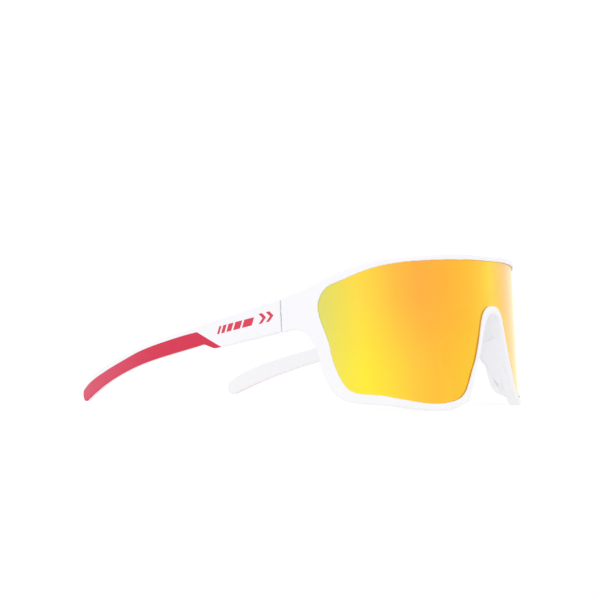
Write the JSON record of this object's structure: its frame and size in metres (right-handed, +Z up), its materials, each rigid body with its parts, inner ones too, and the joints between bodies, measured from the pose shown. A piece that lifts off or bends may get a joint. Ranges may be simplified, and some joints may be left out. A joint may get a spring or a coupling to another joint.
{
  "type": "wraparound sport sunglasses",
  "caption": "Wraparound sport sunglasses: a full-rim front with a mirrored shield lens, a nose notch with pads, and folding arms with rubber grips.",
  "frame": {"origin": "on the table under the middle of the open sunglasses, which stand on the rim's two lobes and the two arm tips", "axes": "+X towards the wearer's left, +Y back along the arms, +Z up"},
  "size_m": [0.1432, 0.1825, 0.0614],
  "materials": {
    "frame_white": "semi-matte moulded white plastic",
    "lens_mirror": "polycarbonate with a yellow to orange mirror coating",
    "grip_red": "matte red moulded rubber",
    "pad_white": "soft white moulded rubber",
    "hinge_steel": "brushed stainless steel"
  },
  "bodies": {
    "front": {"front_frame": "frame_white", "shield_lens": "lens_mirror", "nose_pad_left": "pad_white", "nose_pad_right": "pad_white", "front_hinge_leaf_left": "hinge_steel", "front_hinge_leaf_right": "hinge_steel", "hinge_screw_left": "hinge_steel", "hinge_screw_right": "hinge_steel", "front_leaf_screws_left": "hinge_steel", "front_leaf_screws_right": "hinge_steel"},
    "left_temple": {"temple_left": "frame_white", "temple_grip_left": "grip_red", "temple_hinge_leaf_left": "hinge_steel", "temple_leaf_screws_left": "hinge_steel"},
    "right_temple": {"temple_right": "frame_white", "temple_grip_right": "grip_red", "temple_hinge_leaf_right": "hinge_steel", "temple_leaf_screws_right": "hinge_steel"}
  },
  "joints": [
    {"name": "left_temple_fold", "type": "hinge", "parent": "front", "child": "left_temple", "pos_m": [0.0666, -0.03766, 0.03709], "axis": [0, 0.0584, 0.9983], "range_deg": [0, 86]},
    {"name": "right_temple_fold", "type": "hinge", "parent": "front", "child": "right_temple", "pos_m": [-0.0666, -0.03766, 0.03709], "axis": [0, -0.0584, -0.9983], "range_deg": [0, 79]}
  ]
}
